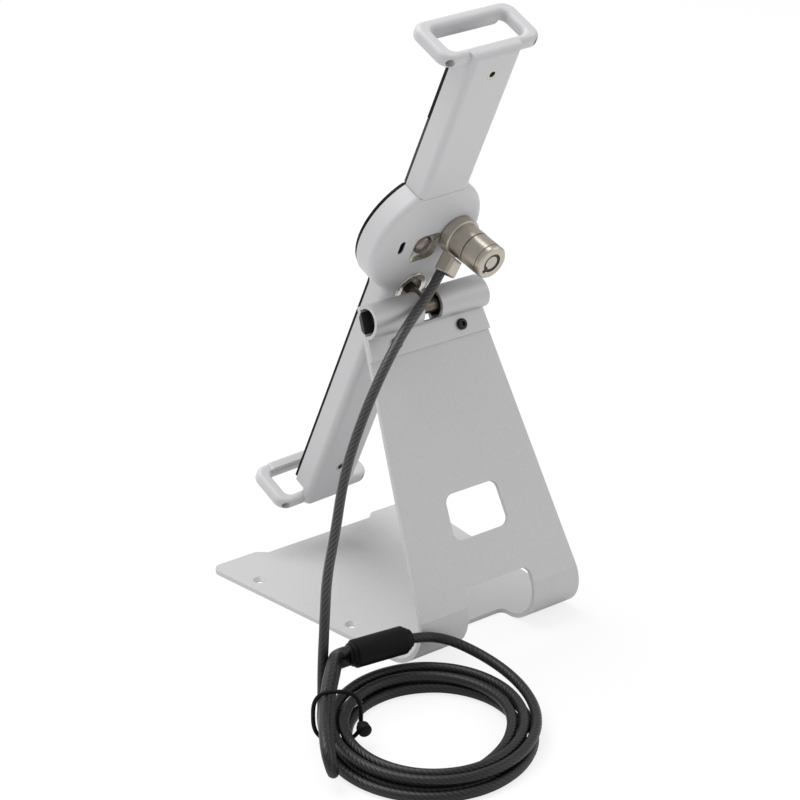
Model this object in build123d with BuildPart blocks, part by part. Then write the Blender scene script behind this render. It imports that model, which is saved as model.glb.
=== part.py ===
from build123d import *
import math
import os

os.makedirs("parts", exist_ok=True)

# Tablet stand, in millimetres. X is the width, +Y the back, +Z up; the user sits at -Y.
# The origin is on the base plate's underside, midway between its two lines of screw holes.

# ---- driving dimensions: the folded plate ----
sheet = 2.0              # plate thickness
base_width = 120.0       # width at the front edge
base_length = 118.5      # flat base, from the front edge to the bend
side_taper = 5.94        # degrees that each side of the blank closes in
bend_inner = 15.0        # inside radius of the bend
bend_angle = 115.8       # how far the sheet is folded
plate_length = 135.0     # straight inclined part
front_margin = 24.4      # front edge to the front screw line
screw_pitch = 60.4       # front screw line to the rear one
screw_inset = 8.0        # hole centre in from the side edge
screw_hole_r = 1.8
screw_head_r = 3.3
recess_half = 30.0       # shallow recess in the front edge
recess_depth = 4.0
window_low = 26.2        # window in the inclined plate, from the bend
window_high = 46.7
window_half = 15.1
bend_slot_half = 19.0    # opening through the bend
bend_slot_up = 5.9       # its reach up the inclined plate
bend_slot_in = 4.6       # its reach into the base

# ---- the hinge clamp on the plate's top edge ----
cover_wall = 1.6
flange_height = 9.3      # flat flange below the rolled part
roll_r = 7.4             # outer radius of the rolled part
roll_lift = 2.8          # its centre above the plate's outer face
shaft_lift = 4.1         # cross shaft's centre above the same face
gap_half = 4.9           # gap in the middle where the link comes through
clamp_screw_x = 18.0
clamp_screw_r = 1.5
clamp_head_r = 2.5
shaft_r = 3.5
shaft_half = 27.0
bush_in = 9.0            # inner end of each bush
bush_out = 24.0          # outer end
fit = 0.05               # radial clearance of the running fits
clear = 0.15             # clearance of loose fits

# ---- the tablet holder ----
tilt = 63.8              # holder's angle above the horizontal at rest
skew = 2.2               # turn about the ball link at rest
back_gap = 11.9          # shaft centre to the holder's back face
arm_half = 13.3
arm_depth = 11.4         # moulded depth, back face to the pads
arm_round = 3.0
body_round = 3.5
wall = 2.0
hub_r = 29.4
hub_y = 28.0             # hub centre above the shaft, along the arm
hub_top = 54.0           # flat top of the hub, where the upper arm seats
low_ring_y = -135.5      # middle of the lower bracket
high_ring_y = 127.7      # middle of the upper bracket
ring_half = 26.5
ring_bar = 6.2           # thickness of the bracket's side bars
rear_bar = 4.6           # thickness of its rear bar
bar_round = 2.2          # rounding of all its edges
ring_rear = 2.6          # bracket's rear face behind the back face
ring_front = 27.4        # bracket's front face
lip_bar = 5.6            # thickness of its front lip
bar_height = 6.0
lip_drop = 1.4           # lip reaches this much nearer to the tablet
web = 5.4                # thickness of the arm's end behind the tablet edge
web_length = 9.0
ear_hole_x = 23.1
ear_hole_r = 1.8
pad = 2.0
pad_step_y = 88.8        # joint between the rail strip and the grip pad
strip = 1.7
insert_r = 2.4
insert_bore = 1.5
insert_depth = 6.0
low_insert_y = -114.8
high_insert_y = 119.0
ball_r = 3.7
ball_depth = 5.5         # ball centre inside the back face
link_r = 2.6
stud_y = 23.6            # domed stud in its window, above the shaft along the arm
stud_r = 5.2
eye_half = 7.4           # window round the stud
eye_round = 4.0
slot_x = 14.8            # security slots, each side of the hub
slot_length = 7.0
slot_width = 3.0
collar_r = 8.4           # nickel collar where the link enters the holder
collar_bore = 5.5
socket_r = 6.6
rail = 2.2
rail_deep = 7.0          # rail's rear face inside the back face
rail_half = 10.6
rail_slot = 7.2          # half width of the fork that passes the ball
rail_fork = 36.0
rail_low = -30.0
rail_high = 84.0
travel = 45.0            # slide of the upper arm

# ---- the security lock ----
lock_tilt = 8.5          # the lock leans up in its slot
lock_lift = 1.6          # base ring clear of the back face, on the axis
lock_base_r = 9.2
lock_base = 4.6
lock_neck_r = 7.9
lock_neck = 7.4
lock_barrel_r = 7.8
lock_barrel = 11.6
key_r = 4.4              # keyway's outer radius
key_core_r = 3.1
key_depth = 5.0
tbar_r = 1.2
tbar_half = 3.1
ferrule_turn = 40.0      # degrees from straight down the arm, towards +X
ferrule_lean = 15.0      # degrees away from the holder
ferrule_start = 6.0
ferrule_length = 11.0
ferrule_wide = 8.4
ferrule_deep = 7.2
ferrule_height = 5.2

# ---- the security cable ----
cable = 4.4
coil_x = 75.8            # middle of the coil on the table
coil_y = 125.0
coil_turn = 51.2         # its long way, from +X
coil_long = 54.4         # outer half lengths
coil_short = 46.0
coil_band = 14.0         # width of the bundle
coil_low = 2.2
coil_high = 8.8
sleeve_r = 6.2
loop_half = 2.4
tie_wide = 29.0
tie_high = 24.5
tie_band = 1.5


def half_at(s):
    """Half width of the flat blank at the distance s from its front edge."""
    return base_width / 2 - math.tan(math.radians(side_taper)) * s


def export(part_builder, label):
    """Labels one finished piece and writes its STEP file."""
    part_builder.part.label = label
    export_step(part_builder.part, f"parts/{label}.step")


cover_screw_row = [(-17.5, 12.3), (17.5, 12.3), (0, -60)]

# ---- frames ----
front_y = -(screw_pitch / 2 + front_margin)
bend_y = front_y + base_length
bend_outer = bend_inner + sheet
bend_run = math.radians(bend_angle) * (bend_inner + sheet / 2)
fold = math.radians(bend_angle)
up_plate = Vector(0, math.cos(fold), math.sin(fold))
off_plate = Vector(0, math.sin(fold), -math.cos(fold))
bend_centre = Vector(0, bend_y, bend_outer)
plate_foot = bend_centre + off_plate * bend_outer
# x runs to -X, y up the plate, z out of its back
plate_plane = Plane(origin=plate_foot, x_dir=(-1, 0, 0), z_dir=off_plate)
# x runs up the plate, y out of its back
section_plane = Plane(origin=plate_foot, x_dir=up_plate, z_dir=(-1, 0, 0))

base_screws = [(side * (half_at(y - front_y) - screw_inset), y, sheet)
               for y in (-screw_pitch / 2, screw_pitch / 2) for side in (-1, 1)]

roll_up = plate_length - roll_r
roll_low = roll_up - roll_r
flange_low = roll_low - flange_height
flange_middle = flange_low + flange_height / 2
screw_row = [(-clamp_screw_x, flange_middle), (clamp_screw_x, flange_middle)]
shaft_centre = plate_foot + up_plate * roll_up + off_plate * shaft_lift
lean = math.radians(tilt)
along = Vector(0, math.cos(lean), math.sin(lean))
straight_back = Vector(0, math.sin(lean), -math.cos(lean))
turn = math.radians(skew)
holder_x = Vector(-1, 0, 0) * math.cos(turn) + along.cross(Vector(-1, 0, 0)) * math.sin(turn)
holder_z = holder_x.cross(along)
pivot = shaft_centre - straight_back * (back_gap + ball_depth)
# x runs across the holder (to -X), y up the arms, z out of its back face
holder = Plane(origin=pivot + holder_z * ball_depth, x_dir=holder_x, z_dir=holder_z)
link_plane = Plane(origin=pivot, x_dir=(-1, 0, 0), z_dir=straight_back)


def on(plane, x=0.0, y=0.0, z=0.0):
    """The plane moved to a point given in its own axes."""
    return Plane(origin=plane.from_local_coords(Vector(x, y, z)), x_dir=plane.x_dir, z_dir=plane.z_dir)


def across(plane, y):
    """The cross-section of an arm at y: its own x stays, its own y runs to the plane's z."""
    return Plane(origin=plane.from_local_coords(Vector(0, y, 0)), x_dir=plane.x_dir, z_dir=-plane.y_dir)


# ---- stand plate: one laser-cut and folded sheet ----
bend_start = half_at(base_length)
bend_end = half_at(base_length + bend_run)
plate_end = half_at(base_length + bend_run + plate_length)
with BuildPart() as stand_plate:
    with BuildSketch(Plane.XY) as base_outline:
        with BuildLine():
            Polyline((-half_at(0), front_y), (-recess_half - recess_depth, front_y),
                     (-recess_half, front_y + recess_depth), (recess_half, front_y + recess_depth),
                     (recess_half + recess_depth, front_y), (half_at(0), front_y),
                     (bend_start, bend_y), (-bend_start, bend_y), close=True)
        make_face()
        fillet(base_outline.vertices().group_by(Axis.Y)[0].sort_by(Axis.X)[0::3], radius=5)
        fillet(base_outline.vertices().filter_by(lambda v: abs(v.X) < recess_half + 5), radius=2)
    extrude(amount=sheet)
    with BuildLine(Plane(origin=bend_centre, x_dir=(0, 1, 0), z_dir=(1, 0, 0))) as bend_path:
        CenterArc((0, 0), bend_inner + sheet / 2, -90, bend_angle)
    with BuildSketch(Plane(origin=(0, bend_y, sheet / 2), x_dir=(1, 0, 0), z_dir=(0, 1, 0))) as bend_low:
        Rectangle(2 * bend_start, sheet)
    with BuildSketch(Plane(origin=plate_foot - off_plate * sheet / 2, x_dir=(1, 0, 0),
                           z_dir=up_plate)) as bend_high:
        Rectangle(2 * bend_end, sheet)
    sweep(sections=[bend_low.sketch, bend_high.sketch], path=bend_path.line, multisection=True)
    with BuildSketch(plate_plane) as plate_outline:
        with BuildLine():
            Polyline((-bend_end, 0), (-plate_end, plate_length), (plate_end, plate_length), (bend_end, 0),
                     close=True)
        make_face()
        with Locations((0, plate_length)):
            Rectangle(2 * gap_half, 2 * (roll_r + 6), mode=Mode.SUBTRACT)
    extrude(amount=-sheet)
    with BuildSketch(plate_plane) as window:
        with BuildLine():
            Polyline((-window_half - 0.6, window_low), (-window_half + 0.6, window_high),
                     (window_half - 0.6, window_high), (window_half + 0.6, window_low), close=True)
        make_face()
        fillet(window.vertices(), radius=4.2)
    extrude(amount=sheet, both=True, mode=Mode.SUBTRACT)
    with BuildSketch(plate_plane) as slot_top:
        with Locations((0, bend_slot_up - 10)):
            RectangleRounded(2 * bend_slot_half, 20, 4)
        with Locations((0, -8)):
            Rectangle(2 * bend_slot_half, 16)
    extrude(amount=2 * sheet, both=True, mode=Mode.SUBTRACT)
    with BuildSketch(Plane.XY) as slot_foot:
        with Locations((0, bend_y - bend_slot_in + 10)):
            RectangleRounded(2 * bend_slot_half, 20, 3)
        with Locations((0, bend_y + 9)):
            Rectangle(2 * bend_slot_half, 18)
    extrude(amount=2 * sheet, both=True, mode=Mode.SUBTRACT)
    with BuildSketch(Plane(origin=(0, bend_y, sheet / 2), x_dir=(1, 0, 0), z_dir=(0, 1, 0))) as slot_bend:
        Rectangle(2 * bend_slot_half, 2 * sheet)
    revolve(axis=Axis(bend_centre, (1, 0, 0)), revolution_arc=bend_angle, mode=Mode.SUBTRACT)
    with BuildSketch(plate_plane) as clamp_holes:
        with Locations(screw_row):
            Circle(clamp_screw_r + clear)
    extrude(amount=2 * sheet, both=True, mode=Mode.SUBTRACT)
    for place in base_screws:
        with Locations(place):
            CounterSinkHole(screw_hole_r, screw_head_r, depth=sheet, counter_sink_angle=90)
export(stand_plate, "stand_plate")

# ---- hinge cover: sheet rolled round the cross shaft and screwed to the plate's back ----
cover_low = half_at(base_length + bend_run + flange_low)


def cover_section(grow, low):
    """Draws the D-shaped outline of the rolled part, grown or shrunk, in the section plane."""
    r = roll_r + grow
    with BuildLine() as outline:
        Polyline((roll_up + r, roll_lift), (roll_up + r, low), (roll_up - r, low), (roll_up - r, roll_lift))
        ThreePointArc((roll_up - r, roll_lift), (roll_up, roll_lift + r), (roll_up + r, roll_lift))
    make_face(outline.edges())


with BuildPart() as hinge_cover:
    with BuildSketch(section_plane) as roll_outer:
        cover_section(0, fit)
        with Locations((flange_low + flange_height / 2, fit + cover_wall / 2)):
            Rectangle(flange_height + 1, cover_wall)
    extrude(amount=cover_low + 5, both=True)
    with BuildSketch(section_plane) as roll_inner:
        cover_section(-cover_wall, -1)
    extrude(amount=cover_low + 5, both=True, mode=Mode.SUBTRACT)
    with BuildSketch(plate_plane) as cover_sides:
        with BuildLine():
            Polyline((-cover_low, flange_low), (-plate_end, plate_length), (-plate_end, plate_length + 9),
                     (plate_end, plate_length + 9), (plate_end, plate_length), (cover_low, flange_low),
                     (cover_low - 2, flange_low - 9), (2 - cover_low, flange_low - 9), close=True)
        make_face()
    extrude(amount=20, both=True, mode=Mode.INTERSECT)
    with BuildSketch(plate_plane) as cover_gap:
        with Locations((0, roll_up + 6)):
            Rectangle(2 * gap_half, 2 * (roll_r + 5))
    extrude(amount=20, both=True, mode=Mode.SUBTRACT)
    with BuildSketch(plate_plane) as cover_holes:
        with Locations(screw_row):
            Circle(clamp_screw_r)
    extrude(amount=20, both=True, mode=Mode.SUBTRACT)
export(hinge_cover, "hinge_cover")

# ---- clamp screws and nuts: they hold the cover on the plate ----
with BuildPart() as clamp_screws:
    with BuildSketch(on(plate_plane, z=fit + cover_wall)) as clamp_heads:
        with Locations(screw_row):
            Circle(clamp_head_r)
    extrude(amount=1.5)
    head_edges = clamp_screws.edges().filter_by(GeomType.CIRCLE)
    fillet(head_edges.group_by(Axis(plate_foot, off_plate))[-1], radius=0.8)
    with BuildSketch(on(plate_plane, z=fit + cover_wall)) as clamp_shanks:
        with Locations(screw_row):
            Circle(clamp_screw_r - fit)
    extrude(amount=-(cover_wall + sheet + 2.2))
    with BuildSketch(on(plate_plane, z=fit + cover_wall + 1.5)) as clamp_keys:
        with Locations(screw_row):
            RegularPolygon(radius=1.2, side_count=6)
    extrude(amount=-1.0, mode=Mode.SUBTRACT)
export(clamp_screws, "clamp_screws")

with BuildPart() as clamp_nuts:
    with BuildSketch(on(plate_plane, z=-sheet - fit)) as nut_outline:
        with Locations(screw_row):
            RegularPolygon(radius=3.1, side_count=6)
            Circle(clamp_screw_r, mode=Mode.SUBTRACT)
    extrude(amount=-2.0)
export(clamp_nuts, "clamp_nuts")

# ---- bushes: they fill the rolled cover and grip the shaft ----
for side, label in ((1, "bush_left"), (-1, "bush_right")):
    with BuildPart(mode=Mode.PRIVATE) as bush:
        with BuildSketch(section_plane.offset(side * bush_in)) as bush_outline:
            cover_section(-cover_wall - clear, clear)
            with Locations((roll_up, shaft_lift)):
                Circle(shaft_r + fit, mode=Mode.SUBTRACT)
        extrude(amount=side * (bush_out - bush_in))
    export(bush, label)

# ---- tilt link: cross shaft, stem and ball in one turned piece ----
with BuildPart() as tilt_link:
    with BuildSketch(Plane(origin=shaft_centre, x_dir=(0, 1, 0), z_dir=(1, 0, 0))) as shaft_end:
        Circle(shaft_r)
    extrude(amount=shaft_half, both=True)
    chamfer(tilt_link.edges(), length=0.5)
    with BuildSketch(Plane(origin=shaft_centre, x_dir=(-1, 0, 0), z_dir=straight_back)) as stem_end:
        Circle(link_r)
    extrude(amount=-(back_gap + ball_depth))
    with Locations(link_plane):
        Sphere(ball_r)
    for side in (-1, 1):
        with BuildSketch(Plane(origin=shaft_centre + Vector(side * (bush_out + 1.6), 0, 0), x_dir=(0, 1, 0),
                               z_dir=(1, 0, 0))) as groove:
            Circle(shaft_r + 1)
            Circle(shaft_r - 0.5, mode=Mode.SUBTRACT)
        extrude(amount=0.5, both=True, mode=Mode.SUBTRACT)
export(tilt_link, "tilt_link")

with BuildPart() as shaft_clips:
    for side in (-1, 1):
        with BuildSketch(Plane(origin=shaft_centre + Vector(side * (bush_out + 1.6), 0, 0), x_dir=(0, 1, 0),
                               z_dir=(1, 0, 0))) as clip_outline:
            Circle(shaft_r + 0.4)
            Circle(shaft_r - 0.4, mode=Mode.SUBTRACT)
            with Locations((0, -shaft_r)):
                Rectangle(3.4, 2 * shaft_r - 1, mode=Mode.SUBTRACT)
        extrude(amount=0.4, both=True)
export(shaft_clips, "shaft_clips")

# ---- holder: hub, lower arm and lower bracket moulded in one ----
holder_axis = Axis(holder.origin, holder.z_dir)
low_end = low_ring_y - bar_height / 2
high_end = high_ring_y + bar_height / 2


def hub_outline(sketch, shrink, low):
    """Draws the hub's disc with the lower arm, shrunk evenly, flat at the top."""
    r = hub_r - shrink
    half = arm_half - shrink
    with Locations((0, hub_y)):
        Circle(r)
    with Locations((0, (hub_y + low) / 2)):
        Rectangle(2 * half, hub_y - low)
    with Locations((0, hub_top - shrink + 20)):
        Rectangle(60, 40, mode=Mode.SUBTRACT)
    corners = sketch.vertices().filter_by(lambda v: abs(abs(v.X) - half) < 0.01 and low + 5 < v.Y < hub_y)
    fillet(corners, radius=10 + shrink)


def bracket(y, toward):
    """One bracket with its lip, all its edges rounded; toward is the side of the tablet along the arm."""
    with BuildPart(mode=Mode.PRIVATE) as bars:
        with BuildSketch(across(holder, y)) as bar_outline:
            with Locations((0, -(ring_rear + ring_front) / 2)):
                RectangleRounded(2 * ring_half, ring_front - ring_rear, 6)
            with Locations((0, -(ring_rear + rear_bar + ring_front - lip_bar) / 2)):
                RectangleRounded(2 * (ring_half - ring_bar), ring_front - lip_bar - ring_rear - rear_bar, 3,
                                 mode=Mode.SUBTRACT)
        extrude(amount=bar_height / 2, both=True)
        fillet(bars.edges(), radius=bar_round)
    with BuildPart(mode=Mode.PRIVATE) as lip:
        with BuildSketch(on(holder, z=-(ring_front - lip_bar) - 0.5)) as lip_outline:
            with Locations((0, y + toward * lip_drop)):
                RectangleRounded(2 * (ring_half - ring_bar) - 2, bar_height - 0.2, 2)
        extrude(amount=-(lip_bar - 1))
        lip_edges = lip.edges()
        lip_front = lip_edges.filter_by(lambda e: holder.to_local_coords(e.center()).Z < 0.6 - ring_front)
        fillet(lip_front, radius=1.5)
    add(bars.part)
    add(lip.part)


with BuildPart() as main_body:
    with BuildSketch(holder) as body_outline:
        hub_outline(body_outline, 0, low_end)
    extrude(amount=-arm_depth)
    end_edges = main_body.edges()
    corners = end_edges.filter_by(lambda e: holder.to_local_coords(e.center()).Y < low_end + 0.1)
    fillet(corners.filter_by(Axis((0, 0, 0), holder.z_dir)), radius=4)
    rear_edges = main_body.faces().sort_by(holder_axis)[-1].edges()
    body_edges = rear_edges.filter_by(lambda e: holder.to_local_coords(e.center()).Y < hub_top - 1)
    fillet(body_edges, radius=body_round)
    with BuildSketch(holder.offset(-wall)) as body_cavity:
        hub_outline(body_cavity, wall, low_end + 13)
    extrude(amount=-arm_depth, mode=Mode.SUBTRACT)
    with BuildSketch(holder.offset(-web)) as web_cut:
        with Locations((0, low_end + web_length / 2)):
            Rectangle(2 * arm_half, web_length)
    extrude(amount=-arm_depth, mode=Mode.SUBTRACT)
    bracket(low_ring_y, 1)
    with BuildSketch(holder.offset(-wall)) as bosses:
        with Locations(*cover_screw_row):
            Circle(3.2)
        with Locations((0, low_insert_y)):
            Circle(4.6)
        for low, high in ((-32, 13.5), (41, hub_top - wall)):
            with Locations((-11.65, (low + high) / 2), (11.65, (low + high) / 2)):
                Rectangle(1.5, high - low)
    extrude(amount=-(arm_depth - 2 * wall - clear))
    with BuildSketch(holder) as through_cuts:
        with Locations((0, stud_y)):
            RectangleRounded(2 * eye_half, 2 * eye_half, eye_round)
        with Locations((-slot_x, hub_y), (slot_x, hub_y)):
            SlotOverall(slot_length, slot_width, rotation=90)
        Circle(socket_r + 0.4)
    extrude(amount=-wall - 0.5, mode=Mode.SUBTRACT)
    with BuildSketch(across(holder, hub_top - wall / 2)) as mouth:
        with Locations((0, -(rail_deep + arm_depth) / 2)):
            Rectangle(2 * rail_half + 0.6, arm_depth - rail_deep + 0.2)
    extrude(amount=wall, both=True, mode=Mode.SUBTRACT)
    with BuildSketch(holder) as body_holes:
        with Locations((0, low_insert_y)):
            Circle(insert_r + fit)
        with Locations((-ear_hole_x, low_ring_y), (ear_hole_x, low_ring_y)):
            Circle(ear_hole_r)
    extrude(amount=-insert_depth - 2, mode=Mode.SUBTRACT)
    with BuildSketch(holder.offset(-arm_depth)) as screw_holes:
        with Locations(*cover_screw_row):
            Circle(1.3)
    extrude(amount=arm_depth - wall - 0.5, mode=Mode.SUBTRACT)
export(main_body, "main_body")

with BuildPart() as front_cover:
    with BuildSketch(holder.offset(-(arm_depth - wall))) as cover_outline:
        hub_outline(cover_outline, wall + clear, low_end + 13 + clear)
        with Locations(*cover_screw_row):
            Circle(1.5, mode=Mode.SUBTRACT)
    extrude(amount=-wall)
    with BuildSketch(holder.offset(-arm_depth)) as cover_sinks:
        with Locations(*cover_screw_row):
            Circle(2.7)
    extrude(amount=1.1, mode=Mode.SUBTRACT)
export(front_cover, "front_cover")

with BuildPart() as cover_screws:
    with BuildSketch(holder.offset(-arm_depth)) as cover_heads:
        with Locations(*cover_screw_row):
            Circle(2.5)
    extrude(amount=1.05)
    with BuildSketch(holder.offset(-arm_depth)) as cover_shanks:
        with Locations(*cover_screw_row):
            Circle(1.25)
    extrude(amount=arm_depth - wall - 1)
    with BuildSketch(holder.offset(-arm_depth)) as cover_keys:
        with Locations(*cover_screw_row):
            Rectangle(2.4, 0.7)
            Rectangle(0.7, 2.4)
    extrude(amount=0.7, mode=Mode.SUBTRACT)
export(cover_screws, "cover_screws")

with BuildPart() as holder_pad:
    with BuildSketch(holder.offset(-arm_depth)) as pad_outline:
        hub_outline(pad_outline, 0.8, low_end + web_length + 1)
    extrude(amount=-pad)
export(holder_pad, "holder_pad")

with BuildPart() as anchor_plate:
    with BuildSketch(holder.offset(-wall - 0.1)) as anchor_outline:
        with Locations((0, hub_y + 0.4)):
            RectangleRounded(38, 23.6, 3)
        with Locations((-slot_x, hub_y), (slot_x, hub_y)):
            SlotOverall(slot_length, slot_width, rotation=90, mode=Mode.SUBTRACT)
        with Locations((0, stud_y)):
            Circle(stud_r + fit, mode=Mode.SUBTRACT)
    extrude(amount=-1.2)
export(anchor_plate, "anchor_plate")

with BuildPart() as eye_bezel:
    with BuildSketch(holder.offset(-0.6)) as bezel_outline:
        with Locations((0, stud_y)):
            RectangleRounded(2 * eye_half - 0.3, 2 * eye_half - 0.3, eye_round - 0.15)
            Circle(stud_r + 0.4, mode=Mode.SUBTRACT)
    extrude(amount=-wall + 0.6)
export(eye_bezel, "eye_bezel")

with BuildPart() as stud:
    with BuildSketch(on(holder, y=stud_y, z=-wall - 1.3)) as stud_end:
        Circle(stud_r)
    extrude(amount=2.2)
    fillet(stud.faces().sort_by(holder_axis)[-1].edges(), radius=2.0)
    with BuildSketch(on(holder, y=stud_y, z=-wall - 1.3)) as stud_foot:
        Circle(stud_r + 1)
    extrude(amount=-0.8)
export(stud, "stud")

with BuildPart() as link_socket:
    with BuildSketch(holder.offset(fit)) as socket_body:
        Circle(socket_r)
    extrude(amount=-(arm_depth - wall - clear + fit))
    with BuildSketch(holder.offset(fit)) as socket_collar:
        Circle(collar_r)
    extrude(amount=0.8)
    fillet(link_socket.faces().sort_by(holder_axis)[-1].edges(), radius=0.6)
    with BuildSketch(holder.offset(1)) as socket_mouth:
        Circle(collar_bore)
    extrude(amount=-3.6, mode=Mode.SUBTRACT)
    with BuildSketch(holder.offset(1)) as socket_neck:
        Circle(3.3)
    extrude(amount=-ball_depth - 1, mode=Mode.SUBTRACT)
    with Locations(holder.offset(-ball_depth)):
        Sphere(ball_r + fit, mode=Mode.SUBTRACT)
export(link_socket, "link_socket")


def insert(y, label):
    """One brass threaded insert, flush in the back of an arm."""
    with BuildPart(mode=Mode.PRIVATE) as sleeve:
        with BuildSketch(on(holder, y=y)) as sleeve_end:
            Circle(insert_r)
            Circle(insert_bore, mode=Mode.SUBTRACT)
        extrude(amount=-insert_depth)
    export(sleeve, label)


insert(low_insert_y, "low_insert")
insert(high_insert_y, "high_insert")

# ---- upper arm: slides out of the hub on a steel fork ----
arm_low = hub_top + 0.2
with BuildPart() as upper_arm:
    with BuildSketch(holder) as arm_outline:
        with Locations((0, (arm_low + high_end) / 2)):
            Rectangle(2 * arm_half, high_end - arm_low)
    extrude(amount=-arm_depth)
    arm_edges = upper_arm.faces().sort_by(holder_axis)[-1].edges()
    long_edges = arm_edges.filter_by(lambda e: holder.to_local_coords(e.center()).Y > arm_low + 1)
    fillet(long_edges, radius=arm_round)
    with BuildSketch(holder.offset(-wall)) as arm_cavity:
        with Locations((0, (arm_low + wall + 113) / 2)):
            Rectangle(2 * (arm_half - wall), 113 - arm_low - wall)
        with Locations((0, 64), (0, 78)):
            Circle(4, mode=Mode.SUBTRACT)
    extrude(amount=-arm_depth, mode=Mode.SUBTRACT)
    with BuildSketch(holder.offset(-rail_deep + 0.1)) as boss_cut:
        with Locations((0, 74)):
            Rectangle(2 * (arm_half - wall), 30)
    extrude(amount=-arm_depth, mode=Mode.SUBTRACT)
    with BuildSketch(across(holder, arm_low + wall / 2)) as arm_mouth:
        with Locations((0, -(rail_deep + arm_depth) / 2)):
            Rectangle(2 * rail_half + 0.6, arm_depth - rail_deep + 0.2)
    extrude(amount=wall, both=True, mode=Mode.SUBTRACT)
    with BuildSketch(holder.offset(-web)) as arm_web:
        with Locations((0, high_end - web_length / 2)):
            Rectangle(2 * arm_half, web_length)
    extrude(amount=-arm_depth, mode=Mode.SUBTRACT)
    bracket(high_ring_y, -1)
    with BuildSketch(holder) as arm_holes:
        with Locations((0, high_insert_y)):
            Circle(insert_r + fit)
        with Locations((-ear_hole_x, high_ring_y), (ear_hole_x, high_ring_y)):
            Circle(ear_hole_r)
    extrude(amount=-insert_depth - 2, mode=Mode.SUBTRACT)
    with BuildSketch(holder.offset(-arm_depth)) as arm_screw_holes:
        with Locations((0, 64), (0, 78)):
            Circle(1.5)
    extrude(amount=arm_depth - wall - 0.5, mode=Mode.SUBTRACT)
export(upper_arm, "upper_arm")

with BuildPart() as slide_rail:
    with BuildSketch(holder.offset(-rail_deep)) as rail_outline:
        with Locations((0, (rail_low + rail_high) / 2)):
            RectangleRounded(2 * rail_half, rail_high - rail_low, 1.5)
        with Locations((0, (rail_low - 20 + rail_fork) / 2)):
            RectangleRounded(2 * rail_slot, rail_fork - rail_low + 20, 5, mode=Mode.SUBTRACT)
        with Locations((0, 64), (0, 78)):
            Circle(1.6, mode=Mode.SUBTRACT)
    extrude(amount=-rail)
export(slide_rail, "slide_rail")

with BuildPart() as rail_screws:
    with BuildSketch(holder.offset(-rail_deep - rail)) as rail_heads:
        with Locations((0, 64), (0, 78)):
            Circle(2.8)
    extrude(amount=-1.5)
    with BuildSketch(holder.offset(-rail_deep - rail)) as rail_shanks:
        with Locations((0, 64), (0, 78)):
            Circle(1.45)
    extrude(amount=rail + rail_deep - wall - 1)
    with BuildSketch(holder.offset(-rail_deep - rail - 1.5)) as rail_keys:
        with Locations((0, 64), (0, 78)):
            RegularPolygon(radius=1.3, side_count=6)
    extrude(amount=0.9, mode=Mode.SUBTRACT)
export(rail_screws, "rail_screws")

with BuildPart() as rail_strip:
    with BuildSketch(holder.offset(-arm_depth)) as strip_outline:
        with Locations((0, (arm_low + pad_step_y) / 2)):
            Rectangle(2 * arm_half - 0.8, pad_step_y - arm_low - 0.2)
    extrude(amount=-strip)
export(rail_strip, "rail_strip")

with BuildPart() as grip_pad:
    with BuildSketch(holder.offset(-arm_depth)) as grip_outline:
        with Locations((0, (pad_step_y + high_end - web_length) / 2)):
            Rectangle(2 * arm_half - 0.8, high_end - web_length - pad_step_y - 0.6)
    extrude(amount=-pad)
export(grip_pad, "grip_pad")

# ---- security lock in one of the slots ----
lean_up = math.radians(lock_tilt)
lock_dir = holder.z_dir * math.cos(lean_up) + holder.y_dir * math.sin(lean_up)
slot_centre = holder.from_local_coords(Vector(slot_x, hub_y, 0))
lock_plane = Plane(origin=slot_centre, x_dir=holder.x_dir, z_dir=lock_dir)
lock_axis = Axis(lock_plane.origin, lock_dir)
base_top = lock_lift + lock_base
neck_top = base_top + lock_neck
face = neck_top + lock_barrel

with BuildPart() as lock_base_ring:
    with BuildSketch(lock_plane.offset(lock_lift)) as base_ring_end:
        Circle(lock_base_r)
        Circle(tbar_r + clear, mode=Mode.SUBTRACT)
    extrude(amount=lock_base)
    fillet(lock_base_ring.faces().sort_by(lock_axis)[-1].edges().sort_by(SortBy.LENGTH)[-1], radius=0.6)
export(lock_base_ring, "lock_base")

with BuildPart() as lock_neck_block:
    with BuildSketch(lock_plane.offset(base_top)) as neck_end:
        Circle(lock_neck_r)
        with Locations((lock_neck_r + 4.2, 0)):
            Rectangle(12, 30, mode=Mode.SUBTRACT)
        Circle(tbar_r + clear, mode=Mode.SUBTRACT)
    extrude(amount=lock_neck)
export(lock_neck_block, "lock_neck")

with BuildPart() as lock_barrel_block:
    with BuildSketch(lock_plane.offset(neck_top)) as barrel_end:
        Circle(lock_barrel_r)
    extrude(amount=lock_barrel)
    chamfer(lock_barrel_block.edges(), length=0.6)
    with BuildSketch(lock_plane.offset(face - 2.4)) as barrel_groove:
        Circle(lock_barrel_r + 1)
        Circle(lock_barrel_r - 0.35, mode=Mode.SUBTRACT)
    extrude(amount=-0.5, mode=Mode.SUBTRACT)
    with BuildSketch(lock_plane.offset(face)) as keyway:
        Circle(key_r + fit)
        with Locations((-3.5, -3.1)):
            Rectangle(1.9, 1.9, rotation=42)
    extrude(amount=-key_depth, mode=Mode.SUBTRACT)
    with BuildSketch(lock_plane.offset(face)) as barrel_bore:
        Circle(tbar_r + clear)
    extrude(amount=-lock_barrel, mode=Mode.SUBTRACT)
export(lock_barrel_block, "lock_barrel")

with BuildPart() as key_plug:
    with BuildSketch(lock_plane.offset(face - key_depth + fit)) as plug_foot:
        Circle(key_r)
    extrude(amount=1.2)
    with BuildSketch(lock_plane.offset(face - key_depth + fit)) as plug_post:
        Circle(key_core_r)
        with Locations((-2.4, -2.1)):
            Rectangle(1.2, 1.2, rotation=42, mode=Mode.SUBTRACT)
    extrude(amount=key_depth - 0.4)
export(key_plug, "key_plug")

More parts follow.
